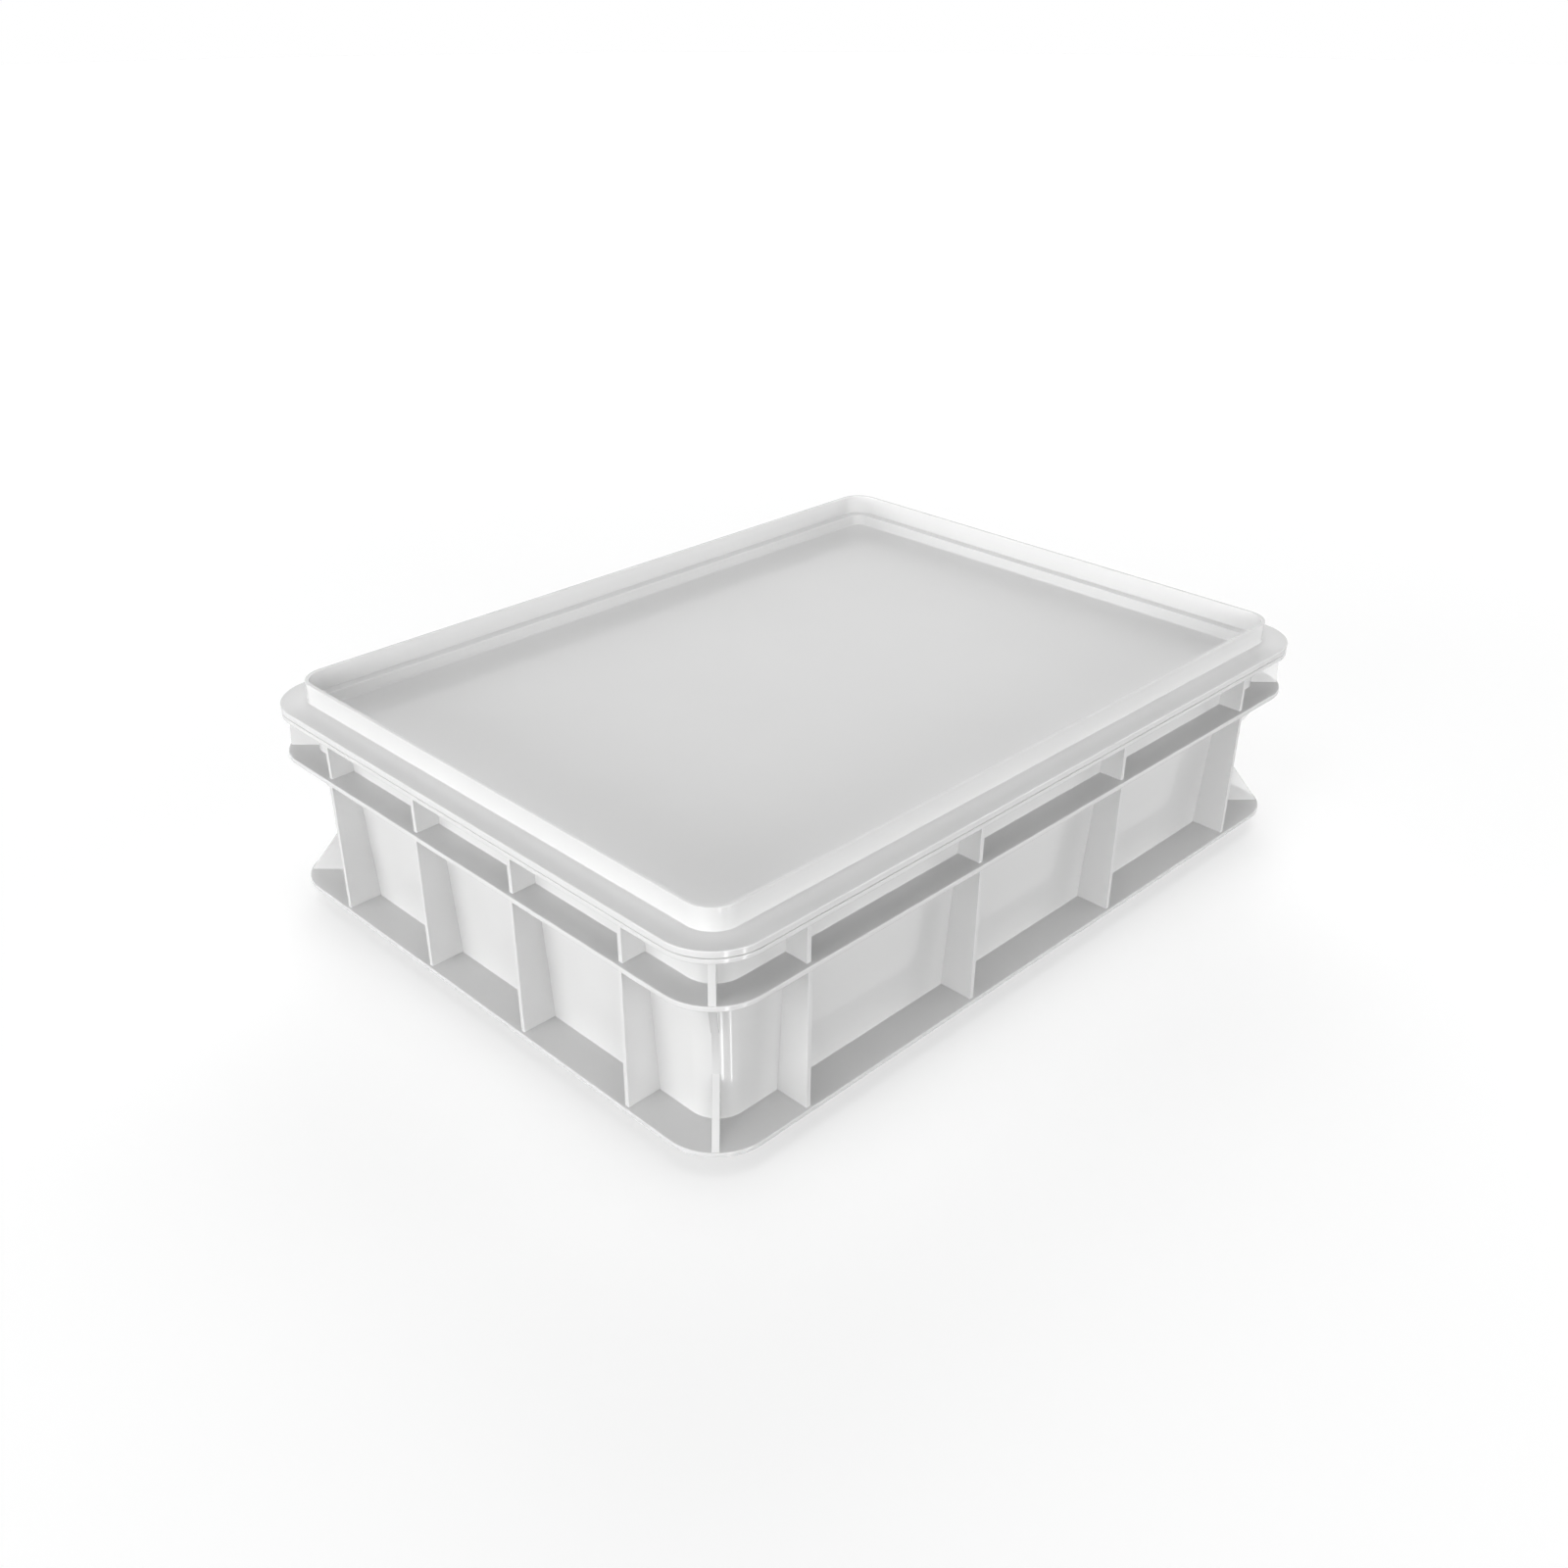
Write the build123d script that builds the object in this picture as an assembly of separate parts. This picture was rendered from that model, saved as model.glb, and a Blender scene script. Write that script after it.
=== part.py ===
# Dough proofing container: a stacking crate in white plastic, ribbed outside, with its lift-off lid.
# Millimetres, +Z up, X along the long side. The origin is at the centre of the footprint, on the
# surface that the container stands on.
from build123d import *
from math import atan2, degrees, hypot, sqrt
import os

os.makedirs("parts", exist_ok=True)

# Footprint that the rim, both lower flanges and the lid share
length = 400.0
width = 300.0
corner_radius = 25.0

# Container, heights
box_height = 100.0
rim_thickness = 2.3
middle_flange_drop = 20.4
middle_flange_thickness = 2.4
base_flange_thickness = 2.2
floor_thickness = 2.5

# Container, plan. An inset is how far a face lies inside the footprint
flange_inset = 0.3
wall_top_inset = 12.4
wall_foot_inset = 17.7
wall = 2.5
wall_corner_radius = 13.2
floor_fillet = 6.0
mouth_edge = 0.8
flange_edge = 0.5

# Outer ribs, four a side, in two tiers
ribs_a_side = 4
rib_thickness = 2.3
rib_end_distance = 51.0
lower_rib_inset = 1.7
upper_rib_inset = 2.5

# Corner webs, on each corner's diagonal
lower_gusset_height = 23.0
upper_gusset_height = 21.2
gusset_inset = 1.0
corner_rib_foot_inset = 1.0
corner_rib_top_inset = 2.5

# Lid
seat_gap = 0.2
lid_flange_thickness = 3.0
lid_wall = 2.6
plug_clearance = 1.6
tray_depth = 5.6
panel_thickness = 2.2
raised_inset = 12.2
raised_thickness = 1.8
raised_height = 9.8
lid_edge_fillet = 0.5
lid_lower_edge = 0.4
plug_lead_in = 1.0
raised_top_fillet = 0.3
raised_foot_fillet = 0.4
tray_edge = 0.4
tray_foot_fillet = 0.8

# Stacking foot: it drops inside the raised wall of the lid below and stands on that lid's ledge
foot_clearance = 0.7
foot_wall = 2.6
stacking_gap = 0.6
foot_edge = 0.5

# Overrun of the cutting bodies, and how near an edge must be to count as found
overrun = 1.0
match = 0.02

# Levels that follow
foot_depth = raised_height + stacking_gap
base_flange_top = foot_depth + base_flange_thickness
floor_top = foot_depth + floor_thickness
rim_underside = box_height - rim_thickness
middle_flange_top = box_height - middle_flange_drop
middle_flange_underside = middle_flange_top - middle_flange_thickness
lid_seat = box_height + seat_gap
lid_top = lid_seat + lid_flange_thickness
panel_top = lid_top - tray_depth
panel_underside = panel_top - panel_thickness
raised_top = lid_top + raised_height
wall_slope = degrees(atan2(wall_foot_inset - wall_top_inset, box_height - foot_depth))

# Insets that follow, so that the lid and a container stacked on it fit what they enter
plug_inset = wall_top_inset + wall + plug_clearance
tray_inset = plug_inset + lid_wall
ledge_inset = raised_inset + raised_thickness
foot_inset = ledge_inset + foot_clearance


def outline(inset, height):
    """Rounded rectangle that lies inside the footprint by inset, at a height."""
    shape = RectangleRounded(length - 2 * inset, width - 2 * inset, corner_radius - inset)
    return Pos(0, 0, height) * shape


def plate(inset, low, high):
    """Flat plate with the footprint's corners, between two heights."""
    return extrude(outline(inset, low), high - low)


def flange(inset, low, high):
    """Plate whose top and bottom edges are broken, as a moulded flange's are."""
    blank = plate(inset, low, high)
    level = blank.edges().group_by(Axis.Z)
    return chamfer(level[0] + level[-1], flange_edge)


def wall_inset(height):
    """Inset of the wall's outer face at a height: the wall leans in towards its foot."""
    share_up = (height - foot_depth) / (box_height - foot_depth)
    return wall_foot_inset + (wall_top_inset - wall_foot_inset) * share_up


def tapered_body(low, high, offset):
    """Body that follows the wall's taper, offset inwards from its outer face, with rounded corners."""
    inset = wall_inset(low) + offset
    foot = Pos(0, 0, low) * Rectangle(length - 2 * inset, width - 2 * inset)
    blank = extrude(foot, high - low)
    sides = blank.faces().filter_by(Axis.Z, reverse=True)
    body = draft(sides, Plane(origin=(0, 0, low)), -wall_slope)
    corners = body.edges().filter_by(Plane.XY, reverse=True)
    return fillet(corners, wall_corner_radius - offset)


def inset_of(point):
    """Inset of a point near the edge, with the corners rounded about the footprint's corner centres."""
    along = max(abs(point.X) - (length / 2 - corner_radius), 0)
    across = max(abs(point.Y) - (width / 2 - corner_radius), 0)
    return corner_radius - hypot(along, across)


def ring_edges(body, inset, height):
    """Level edges of a body that run round it at an inset and a height."""
    found = ShapeList()
    for edge in body.edges():
        middle = edge.position_at(0.5)
        if abs(middle.Z - height) < match and abs(inset_of(middle) - inset) < match:
            found.append(edge)
    return found


# Ribs and gussets are flat webs. Each is drawn as (distance out, height) points in its own upright
# plane, and reaches half-way into the wall
def web(points, centre, direction):
    """Upright web of rib thickness, whose plane starts at centre and faces along direction."""
    upright = Plane(origin=centre, x_dir=direction, z_dir=Vector(*direction).cross(Vector(0, 0, 1)))
    return extrude(upright * make_face(Polyline(*points, close=True)), rib_thickness / 2, both=True)


def side_rib(reach, outer_inset, low, high, centre, direction):
    """Rib between two flanges, on a side whose footprint edge is reach away from its centre."""
    root = wall / 2
    points = [
        (reach - outer_inset, low),
        (reach - wall_inset(low) - root, low),
        (reach - wall_inset(high) - root, high),
        (reach - outer_inset, high),
    ]
    return web(points, centre, direction)


def side_ribs(outer_inset, low, high):
    """The ribs of one tier, all round the container."""
    ribs = []
    for sign in (-1, 1):
        for reach, other, along in ((width / 2, length / 2, "X"), (length / 2, width / 2, "Y")):
            first = rib_end_distance - other
            pitch = -2 * first / (ribs_a_side - 1)
            for number in range(ribs_a_side):
                place = first + number * pitch
                centre = (place, 0, 0) if along == "X" else (0, place, 0)
                direction = (0, sign, 0) if along == "X" else (sign, 0, 0)
                ribs.append(side_rib(reach, outer_inset, low, high, centre, direction))
    return ribs


def wall_on_diagonal(height):
    """Distance from the footprint's corner centre to the wall's outer face, along the diagonal."""
    centre_step = corner_radius - wall_inset(height) - wall_corner_radius
    return centre_step * sqrt(2) + wall_corner_radius


def corner_webs(points):
    """The same web at all four corners, on the diagonals."""
    webs = []
    for side in (-1, 1):
        for end in (-1, 1):
            centre = (side * (length / 2 - corner_radius), end * (width / 2 - corner_radius), 0)
            webs.append(web(points, centre, tuple(Vector(side, end, 0).normalized())))
    return webs


def gusset(flange_face, height):
    """Triangle between a flange and the wall, up the wall if height is positive, down it if not."""
    root = wall / 2
    tip = corner_radius - gusset_inset
    wall_end = wall_on_diagonal(flange_face + height)
    slope = height / (tip - wall_end)
    return corner_webs([
        (tip, flange_face),
        (wall_on_diagonal(flange_face) - root, flange_face),
        (wall_end - root, flange_face + height + root * slope),
    ])


def corner_ribs():
    """Full-height web under the rim at each corner, wider at its foot."""
    root = wall / 2
    return corner_webs([
        (corner_radius - corner_rib_foot_inset, middle_flange_top),
        (wall_on_diagonal(middle_flange_top) - root, middle_flange_top),
        (wall_on_diagonal(rim_underside) - root, rim_underside),
        (corner_radius - corner_rib_top_inset, rim_underside),
    ])


def make_container():
    body = tapered_body(foot_depth, box_height, 0)
    body += flange(0, rim_underside, box_height)
    body += flange(flange_inset, middle_flange_underside, middle_flange_top)
    body += flange(flange_inset, foot_depth, base_flange_top)
    body += side_ribs(lower_rib_inset, base_flange_top, middle_flange_underside)
    body += side_ribs(upper_rib_inset, middle_flange_top, rim_underside)
    body += gusset(base_flange_top, lower_gusset_height)
    body += gusset(middle_flange_underside, -upper_gusset_height)
    body += corner_ribs()
    foot = plate(foot_inset, 0, foot_depth)
    foot -= plate(foot_inset + foot_wall, 0, foot_depth)
    foot = chamfer(foot.edges().group_by(Axis.Z)[0], foot_edge)
    body += foot
    cavity = tapered_body(floor_top, box_height + overrun, wall)
    cavity = fillet(cavity.edges().group_by(Axis.Z)[0], floor_fillet)
    body -= cavity
    rim_face = body.faces().filter_by(Plane.XY).sort_by(Axis.Z)[-1]
    return chamfer(rim_face.inner_wires()[0].edges(), mouth_edge)


def make_lid():
    body = plate(0, lid_seat, lid_top) + plate(raised_inset, lid_top, raised_top)
    body += plate(plug_inset, panel_underside, lid_seat)
    body -= plate(ledge_inset, lid_top, raised_top + overrun)
    body -= plate(tray_inset, panel_top, lid_top + overrun)
    body = fillet(ring_edges(body, 0, lid_top), lid_edge_fillet)
    body = chamfer(ring_edges(body, 0, lid_seat), lid_lower_edge)
    body = fillet(ring_edges(body, raised_inset, lid_top), raised_foot_fillet)
    body = fillet(ring_edges(body, raised_inset, raised_top), raised_top_fillet)
    body = fillet(ring_edges(body, ledge_inset, raised_top), raised_top_fillet)
    body = chamfer(ring_edges(body, tray_inset, lid_top), tray_edge)
    body = fillet(ring_edges(body, tray_inset, panel_top), tray_foot_fillet)
    return chamfer(ring_edges(body, plug_inset, panel_underside), plug_lead_in)


for name, make in (("container", make_container), ("lid", make_lid)):
    shape = make()
    export_step(shape, os.path.join("parts", name + ".step"))
    box = shape.bounding_box()
    print(name, "solids", len(shape.solids()), "volume", round(shape.volume), box.min, box.max)
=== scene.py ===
from math import atan2, cos, pi, radians, sin, sqrt, tan

import bmesh
import bpy
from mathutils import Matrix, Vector


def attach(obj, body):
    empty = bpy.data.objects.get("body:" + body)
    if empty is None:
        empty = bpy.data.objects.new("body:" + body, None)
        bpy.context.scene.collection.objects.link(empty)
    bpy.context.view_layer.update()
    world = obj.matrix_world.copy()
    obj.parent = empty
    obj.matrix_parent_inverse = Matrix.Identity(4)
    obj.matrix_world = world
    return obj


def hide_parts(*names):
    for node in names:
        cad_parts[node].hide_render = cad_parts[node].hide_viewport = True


# Dough proofing container: a stacking crate in white plastic, ribbed outside, with a lift-off lid.
# Sizes are in millimetres and become metres where a mesh is made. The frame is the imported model's:
# +Z up, X along the long side, origin at the centre of the footprint.
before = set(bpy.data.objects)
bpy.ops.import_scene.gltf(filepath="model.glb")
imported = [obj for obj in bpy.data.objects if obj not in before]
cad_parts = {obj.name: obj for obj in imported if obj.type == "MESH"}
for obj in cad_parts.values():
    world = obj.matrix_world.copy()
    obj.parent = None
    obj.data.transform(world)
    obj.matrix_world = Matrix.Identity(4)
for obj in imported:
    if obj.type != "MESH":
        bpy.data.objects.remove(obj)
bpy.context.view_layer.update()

# Container
# One injection moulding in white food-grade polypropylene: leaning walls, three flanges and a
# stacking foot, drawn as one section that runs round the footprint, with ribs and corner webs fused on.

MM = 0.001

LENGTH, WIDTH = 400.0, 300.0
CORNER_RADIUS = 25.0
CORNER_STEPS = 16
ROUNDING_STEPS = 4

BOX_HEIGHT = 100.0
RIM_THICKNESS = 2.3
MIDDLE_TOP = 79.6
MIDDLE_THICKNESS = 2.4
FOOT_DEPTH = 10.4
BASE_THICKNESS = 2.2
FLOOR_THICKNESS = 2.5
FLANGE_INSET = 0.3
FLANGE_ROUNDING = 0.5
FOOT_INSET, FOOT_WALL = 14.7, 2.6

WALL = 2.5
WALL_TOP_INSET, WALL_FOOT_INSET = 12.4, 17.7
WALL_CORNER_RADIUS = 13.2
WALL_ROOT_ROUNDING = 0.35
MOUTH_ROUNDING = 0.8
FLOOR_ROUNDING = 6.0
FLOOR_FLAT_DEPTH = 12.1

BASE_TOP = FOOT_DEPTH + BASE_THICKNESS
FLOOR_TOP = FOOT_DEPTH + FLOOR_THICKNESS
MIDDLE_UNDERSIDE = MIDDLE_TOP - MIDDLE_THICKNESS
RIM_UNDERSIDE = BOX_HEIGHT - RIM_THICKNESS


def wall_inset(height):
    """How far the wall's outer face lies inside the footprint: it leans in towards its foot."""
    share_up = (height - FOOT_DEPTH) / (BOX_HEIGHT - FOOT_DEPTH)
    return WALL_FOOT_INSET + (WALL_TOP_INSET - WALL_FOOT_INSET) * share_up


def on_flange(inset, height, rounding=0.0):
    """Section point whose corners share the footprint's corner centres."""
    return inset, height, rounding, CORNER_RADIUS


def on_wall(height, rounding=0.0, depth=0.0):
    """Section point on the wall, or at a depth inside it. All heights have the same corner radius."""
    inset = wall_inset(height)
    return inset + depth, height, rounding, inset + WALL_CORNER_RADIUS


def rounded_section(points):
    """The section with arcs for its corners. A point is inset, height, rounding, corner inset."""
    section = []
    for number, (inset, height, rounding, corner) in enumerate(points):
        here = Vector((inset, height))
        if not rounding:
            section.append((inset, height, corner))
            continue
        back = (Vector(points[number - 1][:2]) - here).normalized()
        ahead = (Vector(points[number + 1][:2]) - here).normalized()
        half = back.angle(ahead) / 2
        middle = here + (back + ahead).normalized() * (rounding / sin(half))
        first = here + back * (rounding / tan(half)) - middle
        last = here + ahead * (rounding / tan(half)) - middle
        for step in range(ROUNDING_STEPS + 1):
            share = step / ROUNDING_STEPS
            spoke = first.slerp(last, share)
            point = middle + spoke.normalized() * rounding
            section.append((point.x, point.y, corner))
    return section


def outline(inset, height, corner):
    """Ring of points round the footprint at an inset. The corner inset is that of the arcs' centres."""
    radius = corner - inset
    ring = []
    for quarter, (side, end) in enumerate(((1, 1), (-1, 1), (-1, -1), (1, -1))):
        centre = Vector((side * (LENGTH / 2 - corner), end * (WIDTH / 2 - corner), height))
        for step in range(CORNER_STEPS + 1):
            turn = (quarter + step / CORNER_STEPS) * pi / 2
            ring.append(centre + radius * Vector((cos(turn), sin(turn), 0)))
    return ring


def moulded_shell(name, points):
    """Closed body swept from a section that starts in the underside and ends in the top face."""
    body = bmesh.new()
    rings = [
        [body.verts.new(point * MM) for point in outline(*place)]
        for place in rounded_section(points)
    ]
    for lower, upper in zip(rings, rings[1:]):
        for number in range(len(lower)):
            after = (number + 1) % len(lower)
            body.faces.new((lower[number], lower[after], upper[after], upper[number]))
    body.faces.new(reversed(rings[0]))
    body.faces.new(rings[-1])
    bmesh.ops.recalc_face_normals(body, faces=body.faces)
    mesh = bpy.data.meshes.new(name)
    body.to_mesh(mesh)
    body.free()
    shell = bpy.data.objects.new(name, mesh)
    bpy.context.scene.collection.objects.link(shell)
    return shell


container_shell = moulded_shell("container_shell", [
    on_flange(FOOT_INSET + FOOT_WALL, FOOT_DEPTH),
    on_flange(FOOT_INSET + FOOT_WALL, 0.0, FLANGE_ROUNDING),
    on_flange(FOOT_INSET, 0.0, FLANGE_ROUNDING),
    on_flange(FOOT_INSET, FOOT_DEPTH, WALL_ROOT_ROUNDING),
    on_flange(FLANGE_INSET, FOOT_DEPTH, FLANGE_ROUNDING),
    on_flange(FLANGE_INSET, BASE_TOP, FLANGE_ROUNDING),
    on_wall(BASE_TOP, WALL_ROOT_ROUNDING),
    on_wall(MIDDLE_UNDERSIDE, WALL_ROOT_ROUNDING),
    on_flange(FLANGE_INSET, MIDDLE_UNDERSIDE, FLANGE_ROUNDING),
    on_flange(FLANGE_INSET, MIDDLE_TOP, FLANGE_ROUNDING),
    on_wall(MIDDLE_TOP, WALL_ROOT_ROUNDING),
    on_wall(RIM_UNDERSIDE, WALL_ROOT_ROUNDING),
    on_flange(0.0, RIM_UNDERSIDE, FLANGE_ROUNDING),
    on_flange(0.0, BOX_HEIGHT, FLANGE_ROUNDING),
    on_wall(BOX_HEIGHT, MOUTH_ROUNDING, WALL),
    on_wall(FLOOR_TOP, FLOOR_ROUNDING, WALL),
    on_wall(FLOOR_TOP, 0.0, FLOOR_FLAT_DEPTH),
])

# Ribs and corner webs. Each is a flat blank drawn as (distance out, height) points, whose ends reach
# into the wall and the flanges, so that nothing shows of them but what stands free.
RIB_THICKNESS, CORNER_WEB_THICKNESS = 2.3, 3.0
RIB_ROUNDING, RIB_ROUNDING_STEPS = 0.25, 2
RIB_BITE = 1.0
RIBS_A_SIDE = 4
RIB_END_DISTANCE = 51.0
LOWER_RIB_INSET, UPPER_RIB_INSET = 1.7, 2.5
LOWER_GUSSET_HEIGHT, UPPER_GUSSET_HEIGHT = 23.0, 21.2
GUSSET_INSET = 1.0
CORNER_RIB_FOOT_INSET, CORNER_RIB_TOP_INSET = 1.0, 2.5


def web(mesh, points, thickness):
    """Upright blank about the plane x = 0. Its first side is the one whose edges show."""
    faces = []
    for side in (-1, 1):
        place = side * thickness / 2
        faces.append([mesh.verts.new(Vector((place, out, height)) * MM) for out, height in points])
    near, far = faces
    mesh.faces.new(reversed(near))
    mesh.faces.new(far)
    for number in range(len(points)):
        after = (number + 1) % len(points)
        mesh.faces.new((near[number], near[after], far[after], far[number]))
    made = {face for vert in near + far for face in vert.link_faces}
    bmesh.ops.recalc_face_normals(mesh, faces=list(made))
    shown = [mesh.edges.get((row[0], row[1])) for row in faces]
    bmesh.ops.bevel(mesh, geom=shown, offset=RIB_ROUNDING * MM, segments=RIB_ROUNDING_STEPS, profile=0.5,
                    affect="EDGES")


def side_web(mesh, inset, low, high):
    """Rib between two flanges. Distance out is measured from the footprint's edge."""
    low, high = low - RIB_BITE, high + RIB_BITE
    root = WALL / 2
    web(mesh, [
        (-inset, low),
        (-inset, high),
        (-wall_inset(high) - root, high),
        (-wall_inset(low) - root, low),
    ], RIB_THICKNESS)


def wall_on_diagonal(height):
    """Distance from the footprint's corner centre to the wall's outer face, along the diagonal."""
    centre_step = CORNER_RADIUS - wall_inset(height) - WALL_CORNER_RADIUS
    return centre_step * sqrt(2) + WALL_CORNER_RADIUS


def gusset(mesh, face, height):
    """Triangle between a flange and the wall, up the wall if height is positive, down it if not."""
    root = WALL / 2
    tip = CORNER_RADIUS - GUSSET_INSET
    end = wall_on_diagonal(face + height)
    slope = height / (tip - end)
    into = RIB_BITE if height > 0 else -RIB_BITE
    foot = (tip + into / slope, face - into)
    head = (end - root, face + height + root * slope)
    web(mesh, [foot, head, (wall_on_diagonal(face) - root, face - into)], CORNER_WEB_THICKNESS)


def corner_rib(mesh):
    """Full-height web under the rim, wider at its foot."""
    root = WALL / 2
    rise = RIM_UNDERSIDE - MIDDLE_TOP
    lean = (CORNER_RIB_TOP_INSET - CORNER_RIB_FOOT_INSET) / rise * RIB_BITE
    foot, head = MIDDLE_TOP - RIB_BITE, RIM_UNDERSIDE + RIB_BITE
    web(mesh, [
        (CORNER_RADIUS - CORNER_RIB_FOOT_INSET + lean, foot),
        (CORNER_RADIUS - CORNER_RIB_TOP_INSET - lean, head),
        (wall_on_diagonal(head) - root, head),
        (wall_on_diagonal(foot) - root, foot),
    ], CORNER_WEB_THICKNESS)


def blank_object(name, *makers):
    """Object that holds one set of webs, for the geometry nodes to place."""
    mesh = bmesh.new()
    for make in makers:
        make(mesh)
    data = bpy.data.meshes.new(name)
    mesh.to_mesh(data)
    mesh.free()
    return bpy.data.objects.new(name, data)


side_webs = blank_object(
    "side_webs",
    lambda mesh: side_web(mesh, LOWER_RIB_INSET, BASE_TOP, MIDDLE_UNDERSIDE),
    lambda mesh: side_web(mesh, UPPER_RIB_INSET, MIDDLE_TOP, RIM_UNDERSIDE),
)
corner_webs = blank_object(
    "corner_webs",
    lambda mesh: gusset(mesh, BASE_TOP, LOWER_GUSSET_HEIGHT),
    lambda mesh: gusset(mesh, MIDDLE_UNDERSIDE, -UPPER_GUSSET_HEIGHT),
    corner_rib,
)


def add(tree, kind, settings=None, **inputs):
    """One node. An input goes by its name, or by _ and its number, and takes a value or an output."""
    node = tree.nodes.new(kind)
    for name, value in (settings or {}).items():
        setattr(node, name, value)
    for name, value in inputs.items():
        key = int(name[1:]) if name[1:].isdigit() else name.replace("_", " ")
        socket = node.inputs[key]
        for source in value if isinstance(value, list) else [value]:
            if isinstance(source, bpy.types.NodeSocket):
                tree.links.new(source, socket)
            else:
                socket.default_value = source
    return node


# White polypropylene, injection moulded in a polished tool: a milky body a few millimetres deep,
# a clear mirror-like skin, and a very faint orange-peel where the melt has shrunk from the steel.
PLASTIC_COLOUR = "D1D1D1"
PLASTIC_SHADE_COLOUR = "CDCDCD"
PLASTIC_IOR = 1.49
PLASTIC_ROUGHNESS = 0.08
ROUGHNESS_SPREAD = 0.15
ORANGE_PEEL_MM = 1.6
ORANGE_PEEL_DEPTH_MM = 0.0012
CLOUDING_MM = 60.0


def linear(code):
    """Linear colour of an sRGB hex value."""
    parts = [int(code[place:place + 2], 16) / 255 for place in (0, 2, 4)]
    return *(c / 12.92 if c <= 0.04045 else ((c + 0.055) / 1.055) ** 2.4 for c in parts), 1.0


def moulded_plastic(name):
    """The plastic, whose tint and gloss drift a little over a hand's width, as a big moulding's do."""
    material = bpy.data.materials.new(name)
    material.use_nodes = True
    tree = material.node_tree
    tree.nodes.clear()
    place = add(tree, "ShaderNodeTexCoord").outputs["Object"]
    cloud = add(tree, "ShaderNodeTexNoise", Vector=place, Scale=1 / (CLOUDING_MM * MM), Detail=2.0)
    tint = add(tree, "ShaderNodeMix", {"data_type": "RGBA"}, Factor=cloud.outputs["Fac"])
    tint.inputs[6].default_value = linear(PLASTIC_COLOUR)
    tint.inputs[7].default_value = linear(PLASTIC_SHADE_COLOUR)
    gloss = add(tree, "ShaderNodeMapRange", Value=cloud.outputs["Fac"],
                To_Min=PLASTIC_ROUGHNESS * (1 - ROUGHNESS_SPREAD),
                To_Max=PLASTIC_ROUGHNESS * (1 + ROUGHNESS_SPREAD))
    peel = add(tree, "ShaderNodeTexNoise", Vector=place, Scale=1 / (ORANGE_PEEL_MM * MM), Detail=1.0)
    skin = add(tree, "ShaderNodeBump", Strength=1.0, Distance=ORANGE_PEEL_DEPTH_MM * MM,
               Height=peel.outputs["Fac"])
    plastic = add(tree, "ShaderNodeBsdfPrincipled", IOR=PLASTIC_IOR, Base_Color=tint.outputs[2],
                  Roughness=gloss.outputs["Result"], Normal=skin.outputs["Normal"])
    add(tree, "ShaderNodeOutputMaterial", Surface=plastic.outputs["BSDF"])
    return material


container_plastic = moulded_plastic("white_polypropylene_moulded")


def ribbing_nodes():
    """Puts the side webs along all four sides and the corner webs on the diagonals, all fused on."""
    tree = bpy.data.node_groups.new("crate_ribbing", "GeometryNodeTree")
    face = tree.interface
    face.new_socket("Geometry", in_out="INPUT", socket_type="NodeSocketGeometry")
    for name in ("Length", "Width", "Corner radius", "End distance"):
        face.new_socket(name, in_out="INPUT", socket_type="NodeSocketFloat")
    face.new_socket("Ribs a side", in_out="INPUT", socket_type="NodeSocketInt")
    face.new_socket("Side webs", in_out="INPUT", socket_type="NodeSocketObject")
    face.new_socket("Corner webs", in_out="INPUT", socket_type="NodeSocketObject")
    face.new_socket("Material", in_out="INPUT", socket_type="NodeSocketMaterial")
    face.new_socket("Geometry", in_out="OUTPUT", socket_type="NodeSocketGeometry")
    given = add(tree, "NodeGroupInput").outputs

    def maths(operation, first, second):
        return add(tree, "ShaderNodeMath", {"operation": operation}, _0=first, _1=second).outputs[0]

    def point(x=0.0, y=0.0, z=0.0):
        return add(tree, "ShaderNodeCombineXYZ", X=x, Y=y, Z=z).outputs[0]

    side = add(tree, "GeometryNodeObjectInfo", Object=given["Side webs"]).outputs["Geometry"]
    corner = add(tree, "GeometryNodeObjectInfo", Object=given["Corner webs"]).outputs["Geometry"]
    gaps = maths("SUBTRACT", given["Ribs a side"], 1.0)
    placed = []
    for quarter, (along, across) in enumerate((("Length", "Width"), ("Width", "Length")) * 2):
        # Drawn along X at the far side, then turned by quarter turns
        reach = maths("MULTIPLY", given[across], 0.5)
        first = maths("SUBTRACT", maths("MULTIPLY", given[along], 0.5), given["End distance"])
        pitch = maths("DIVIDE", maths("MULTIPLY", first, -2.0), gaps)
        row = add(tree, "GeometryNodeMeshLine", Count=given["Ribs a side"],
                  Start_Location=point(first, reach), Offset=point(pitch))
        ribs = add(tree, "GeometryNodeInstanceOnPoints", Points=row.outputs[0], Instance=side)
        turned = add(tree, "GeometryNodeTransform", Geometry=ribs.outputs[0],
                     Rotation=point(z=quarter * pi / 2))
        placed.append(turned.outputs[0])
    for side_sign, end_sign in ((1, 1), (-1, 1), (-1, -1), (1, -1)):
        steps = []
        for name, sign in (("Length", side_sign), ("Width", end_sign)):
            half = maths("MULTIPLY", given[name], 0.5)
            steps.append(maths("MULTIPLY", maths("SUBTRACT", half, given["Corner radius"]), sign))
        turned = add(tree, "GeometryNodeTransform", Geometry=corner, Translation=point(*steps),
                     Rotation=point(z=atan2(end_sign, side_sign) - pi / 2))
        placed.append(turned.outputs[0])
    webs = add(tree, "GeometryNodeJoinGeometry", Geometry=placed)
    whole = add(tree, "GeometryNodeRealizeInstances", Geometry=webs.outputs[0])
    fused = add(tree, "GeometryNodeMeshBoolean", {"operation": "UNION", "solver": "EXACT"},
                _1=[given["Geometry"], whole.outputs[0]])
    painted = add(tree, "GeometryNodeSetMaterial", Geometry=fused.outputs[0],
                  Material=given["Material"])
    add(tree, "NodeGroupOutput", Geometry=painted.outputs[0])
    return tree


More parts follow.
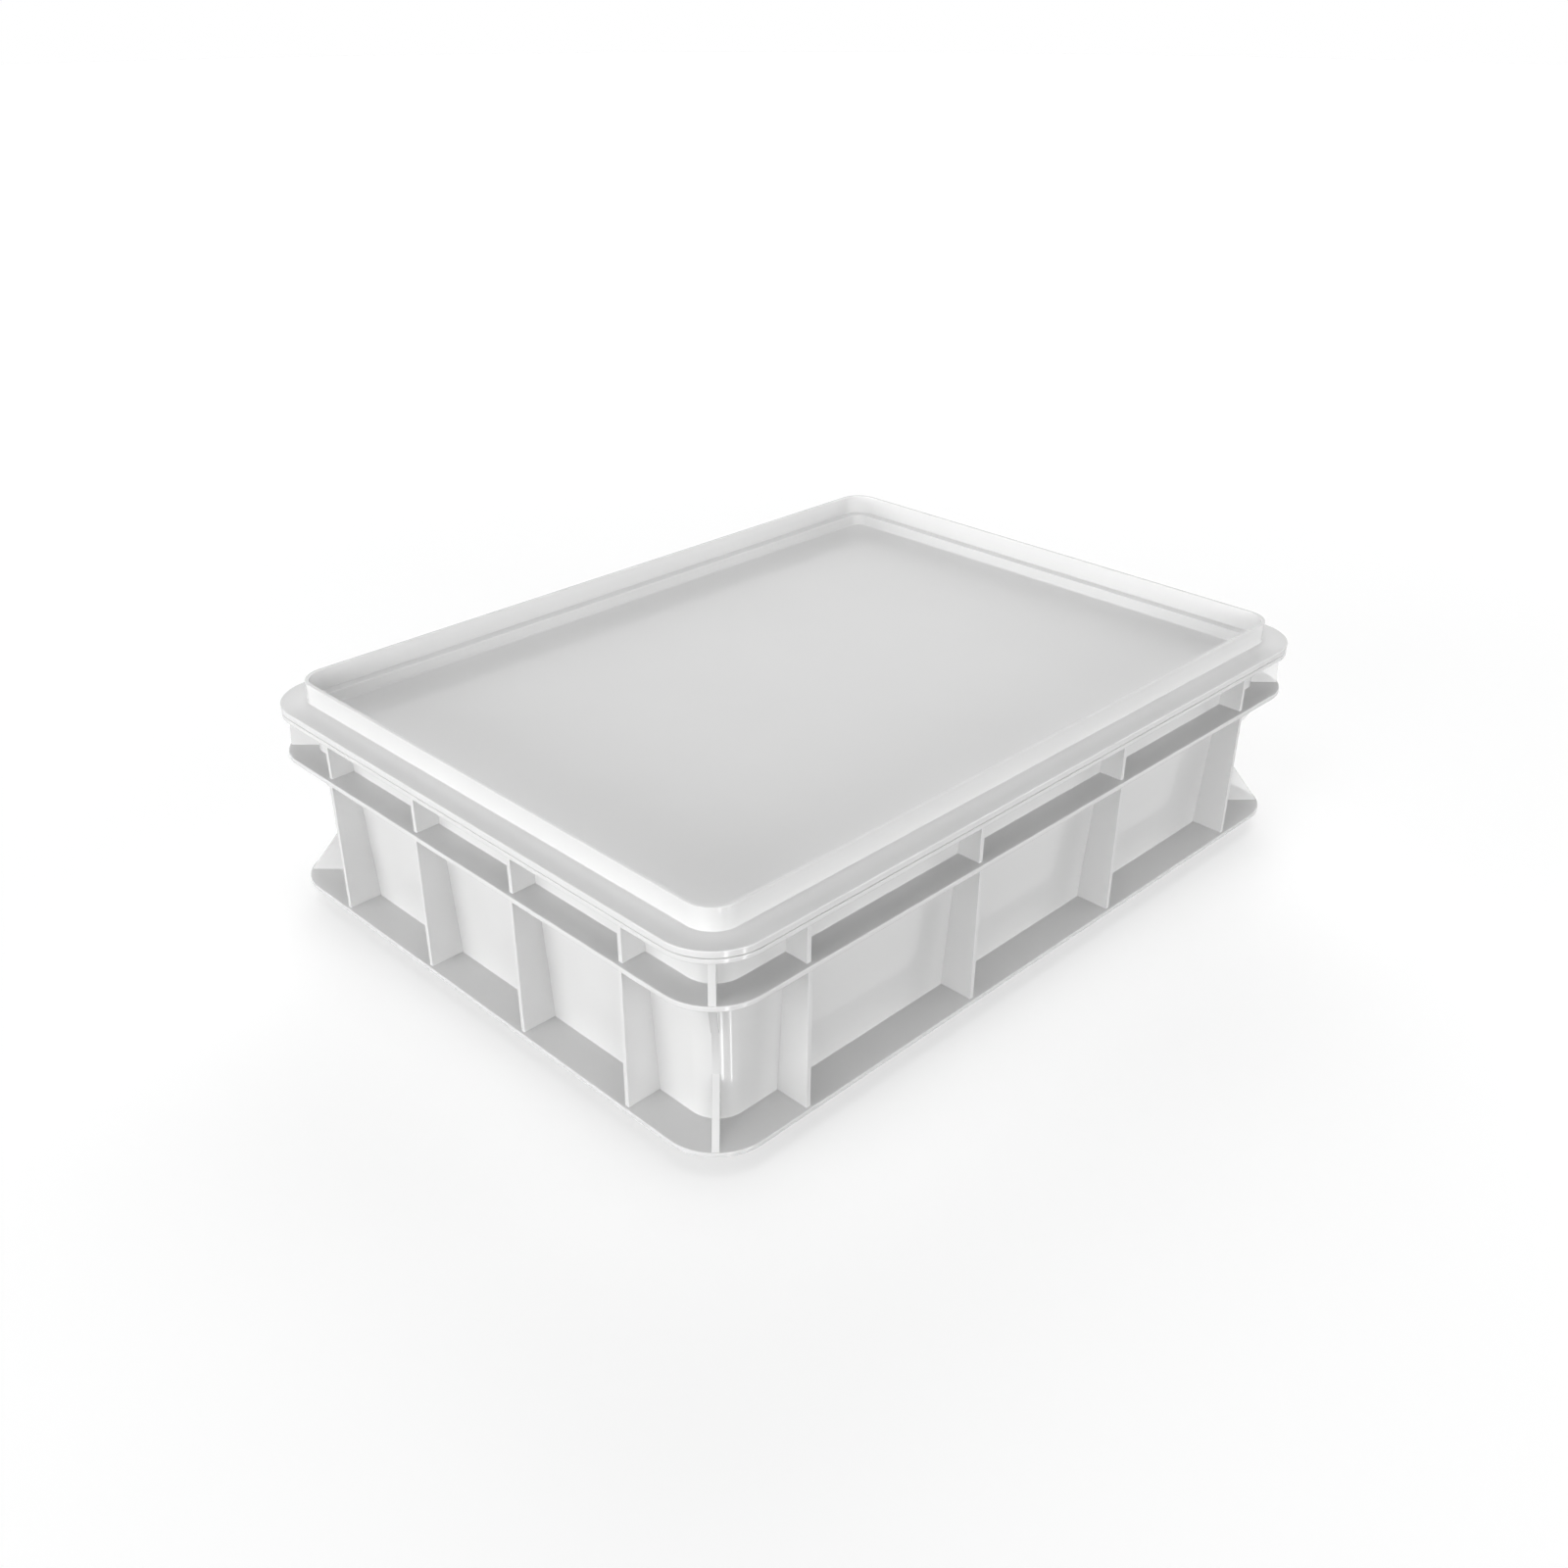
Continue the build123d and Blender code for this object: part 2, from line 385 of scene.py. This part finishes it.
def grown(shell, tree, values, name):
    """Plain mesh piece made from a shell by a node tree with these input values."""
    growth = shell.modifiers.new("growth", "NODES")
    growth.node_group = tree
    names = {item.name: item.identifier for item in tree.interface.items_tree if item.in_out == "INPUT"}
    for label, value in values.items():
        growth[names[label]] = value
    bpy.context.view_layer.update()
    ready = shell.evaluated_get(bpy.context.evaluated_depsgraph_get())
    piece = bpy.data.objects.new(name, bpy.data.meshes.new_from_object(ready))
    bpy.context.scene.collection.objects.link(piece)
    bpy.data.objects.remove(shell)
    return piece


SHARPEST_ROUNDING = radians(32)


def finished(piece):
    """Smooth shading that keeps flat faces flat and breaks only at real edges."""
    piece.data.polygons.foreach_set("use_smooth", [True] * len(piece.data.polygons))
    piece.data.set_sharp_from_angle(angle=SHARPEST_ROUNDING)
    weighting = piece.modifiers.new("flat_faces_stay_flat", "WEIGHTED_NORMAL")
    weighting.keep_sharp = True


container = grown(container_shell, ribbing_nodes(), {
    "Length": LENGTH * MM,
    "Width": WIDTH * MM,
    "Corner radius": CORNER_RADIUS * MM,
    "End distance": RIB_END_DISTANCE * MM,
    "Ribs a side": RIBS_A_SIDE,
    "Side webs": side_webs,
    "Corner webs": corner_webs,
    "Material": container_plastic,
}, "container_moulding")
for blank in (side_webs, corner_webs):
    bpy.data.objects.remove(blank)
finished(container)
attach(container, "container")
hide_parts("container")

# Lid
# One injection moulding in the same plastic: a flange that lies on the rim, a raised edge and a
# ledge that hold the next container's foot, and a sunken panel with a plug under it.

LID_SEAT = 100.2
LID_TOP = 103.2
PANEL_TOP, PANEL_UNDERSIDE = 97.6, 95.4
PLUG_INSET, TRAY_INSET = 16.5, 19.1
RAISED_INSET, LEDGE_INSET = 12.2, 14.0
RAISED_TOP = 113.0
PLUG_ROUNDING = 1.0
LID_EDGE_ROUNDING, LID_LOWER_ROUNDING = 0.5, 0.4
RAISED_TOP_ROUNDING, RAISED_FOOT_ROUNDING = 0.3, 0.4
TRAY_EDGE_ROUNDING, TRAY_FOOT_ROUNDING = 0.4, 0.8

lid = moulded_shell("lid_moulding", [
    on_flange(PLUG_INSET + 2 * PLUG_ROUNDING, PANEL_UNDERSIDE),
    on_flange(PLUG_INSET, PANEL_UNDERSIDE, PLUG_ROUNDING),
    on_flange(PLUG_INSET, LID_SEAT, WALL_ROOT_ROUNDING),
    on_flange(0.0, LID_SEAT, LID_LOWER_ROUNDING),
    on_flange(0.0, LID_TOP, LID_EDGE_ROUNDING),
    on_flange(RAISED_INSET, LID_TOP, RAISED_FOOT_ROUNDING),
    on_flange(RAISED_INSET, RAISED_TOP, RAISED_TOP_ROUNDING),
    on_flange(LEDGE_INSET, RAISED_TOP, RAISED_TOP_ROUNDING),
    on_flange(LEDGE_INSET, LID_TOP, WALL_ROOT_ROUNDING),
    on_flange(TRAY_INSET, LID_TOP, TRAY_EDGE_ROUNDING),
    on_flange(TRAY_INSET, PANEL_TOP, TRAY_FOOT_ROUNDING),
    on_flange(TRAY_INSET + 2 * TRAY_FOOT_ROUNDING, PANEL_TOP),
])
lid.data.materials.append(moulded_plastic("white_polypropylene_polished"))
finished(lid)
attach(lid, "lid")
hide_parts("lid")

# Floor
# A wide sheet of matt white paper. The camera sees it as white, with the object's soft shadow left
# on it. It bounces little light up, and mirror-like surfaces see the room's light through it.

FLOOR_RADIUS, FLOOR_SEGMENTS = 6000.0, 96
PAPER_COLOUR = "A9A9A9"
PAPER_BOUNCE_COLOUR = "404040"
PAPER_GLOW = 0.6

floor_mesh = bmesh.new()
bmesh.ops.create_circle(floor_mesh, cap_ends=True, segments=FLOOR_SEGMENTS, radius=FLOOR_RADIUS * MM)
floor_data = bpy.data.meshes.new("floor")
floor_mesh.to_mesh(floor_data)
floor_mesh.free()
floor = bpy.data.objects.new("floor", floor_data)
bpy.context.scene.collection.objects.link(floor)
floor.visible_glossy = False


def seen_rays(tree):
    """One where a ray comes from the camera, from a mirror-like surface or through a clear one."""
    rays = add(tree, "ShaderNodeLightPath").outputs
    seen = rays["Is Camera Ray"]
    for kind in ("Is Glossy Ray", "Is Transmission Ray"):
        seen = add(tree, "ShaderNodeMath", {"operation": "MAXIMUM"}, _0=seen, _1=rays[kind]).outputs[0]
    return seen


paper = bpy.data.materials.new("matt_white_paper")
paper.use_nodes = True
tree = paper.node_tree
tree.nodes.clear()
bounce = add(tree, "ShaderNodeBsdfDiffuse", Color=linear(PAPER_BOUNCE_COLOUR))
sheet = add(tree, "ShaderNodeBsdfDiffuse", Color=linear(PAPER_COLOUR))
glow = add(tree, "ShaderNodeEmission", Color=linear("FFFFFF"), Strength=PAPER_GLOW)
shown = add(tree, "ShaderNodeAddShader", _0=sheet.outputs[0], _1=glow.outputs[0])
mixed = add(tree, "ShaderNodeMixShader", _0=seen_rays(tree), _1=bounce.outputs[0], _2=shown.outputs[0])
add(tree, "ShaderNodeOutputMaterial", Surface=mixed.outputs[0])
floor_data.materials.append(paper)

# Studio light
# A ring of soft lights at eye level and weaker ones overhead, so that upright faces read lighter than
# level ones. Mirror-like surfaces see a white room instead, with two strips of light in it.

# Each soft light: bearing from +X towards +Y, elevation, strength, half its width, in degrees
SOFT_LIGHTS = (
    (0.0, 90.0, 3.06, 30.0),
    (180.0, 50.0, 3.23, 16.0),
    (45.0, 8.0, 8.67, 35.0),
    (135.0, 8.0, 0.44, 35.0),
    (150.0, 2.0, 9.72, 22.0),
    (180.0, 2.0, 8.79, 22.0),
    (210.0, 2.0, 5.79, 22.0),
    (240.0, 2.0, 7.69, 22.0),
    (270.0, 2.0, 6.38, 22.0),
    (315.0, 8.0, 0.37, 35.0),
    (330.0, 2.0, 7.65, 22.0),
)
# Upright strips, whose glints show on rounded corners: bearing, strength, half width
STRIPS = (
    (247.0, 7.0, 4.0),
    (278.0, 7.0, 3.0),
)
STRIP_TOP, STRIP_BOTTOM, STRIP_FADE = 60.0, -60.0, 8.0

world = bpy.data.worlds.new("studio")
world.use_nodes = True
bpy.context.scene.world = world
tree = world.node_tree
tree.nodes.clear()
towards = add(tree, "ShaderNodeTexCoord").outputs["Generated"]
parts = add(tree, "ShaderNodeSeparateXYZ", Vector=towards).outputs
flat = add(tree, "ShaderNodeCombineXYZ", X=parts["X"], Y=parts["Y"])
level = add(tree, "ShaderNodeVectorMath", {"operation": "NORMALIZE"}, _0=flat.outputs[0]).outputs[0]


def fade(value, low, high, strength=1.0):
    """Smooth change from nothing at low to the strength at high. Low may be the greater number."""
    return add(tree, "ShaderNodeMapRange", {"interpolation_type": "SMOOTHSTEP"}, Value=value,
               From_Min=low, From_Max=high, To_Max=strength).outputs[0]


def patch(direction, bearing, elevation, strength, width, core=0.0):
    """Round patch of light, or an upright stripe where the direction is the level one."""
    turn, rise = radians(bearing), radians(elevation)
    aim = (cos(turn) * cos(rise), sin(turn) * cos(rise), sin(rise))
    facing = add(tree, "ShaderNodeVectorMath", {"operation": "DOT_PRODUCT"}, _0=direction, _1=aim)
    return fade(facing.outputs["Value"], cos(radians(width)), cos(radians(core)), strength)


def total(strengths):
    """Sum of light strengths."""
    whole = strengths[0]
    for more in strengths[1:]:
        whole = add(tree, "ShaderNodeMath", {"operation": "ADD"}, _0=whole, _1=more).outputs[0]
    return whole


soft_light = total([patch(towards, *light) for light in SOFT_LIGHTS])
stripes = total([
    patch(level, bearing, 0.0, strength, width, width / 2)
    for bearing, strength, width in STRIPS
])
for end, side in ((STRIP_TOP, -1), (STRIP_BOTTOM, 1)):
    within = fade(parts["Z"], sin(radians(end)), sin(radians(end + side * STRIP_FADE)))
    stripes = add(tree, "ShaderNodeMath", {"operation": "MULTIPLY"}, _0=stripes, _1=within).outputs[0]
mirrored = total([1.0, stripes])
rays = add(tree, "ShaderNodeLightPath").outputs
shown = add(tree, "ShaderNodeMix", Factor=rays["Is Glossy Ray"], _2=soft_light, _3=mirrored)
plain = add(tree, "ShaderNodeMath", {"operation": "MAXIMUM"}, _0=rays["Is Camera Ray"],
            _1=rays["Is Transmission Ray"])
room = add(tree, "ShaderNodeBackground", Color=linear("FFFFFF"), Strength=shown.outputs[0])
white = add(tree, "ShaderNodeBackground", Color=linear("FFFFFF"), Strength=1.0)
mixed = add(tree, "ShaderNodeMixShader", _0=plain.outputs[0], _1=room.outputs[0], _2=white.outputs[0])
add(tree, "ShaderNodeOutputWorld", Surface=mixed.outputs[0])

# Camera
# Fitted to the edges and corners of the object in the photograph, whose frame is 1600 pixels
# square. It stands off the near corner and looks down on the lid.

FRAME_PIXELS = 1600.0
FOCAL_PIXELS = 1576.99
CENTRE_PIXELS = (785.19, 849.72)
SENSOR = 36.0
CAMERA_PLACE = (-483.34, -464.25, 402.66)
CAMERA_BEARING, CAMERA_PITCH = 44.75, -30.26
CLIP_START, CLIP_END = 0.01, 50.0

lens = bpy.data.cameras.new("camera")
lens.sensor_width = SENSOR
lens.lens = FOCAL_PIXELS / FRAME_PIXELS * SENSOR
lens.shift_x = 0.5 - CENTRE_PIXELS[0] / FRAME_PIXELS
lens.shift_y = CENTRE_PIXELS[1] / FRAME_PIXELS - 0.5
lens.clip_start, lens.clip_end = CLIP_START, CLIP_END
camera = bpy.data.objects.new("camera", lens)
camera.location = Vector(CAMERA_PLACE) * MM
camera.rotation_euler = (radians(90.0 + CAMERA_PITCH), 0.0, radians(-CAMERA_BEARING))
bpy.context.scene.collection.objects.link(camera)
bpy.context.scene.camera = camera
bpy.context.scene.view_settings.view_transform = "Standard"
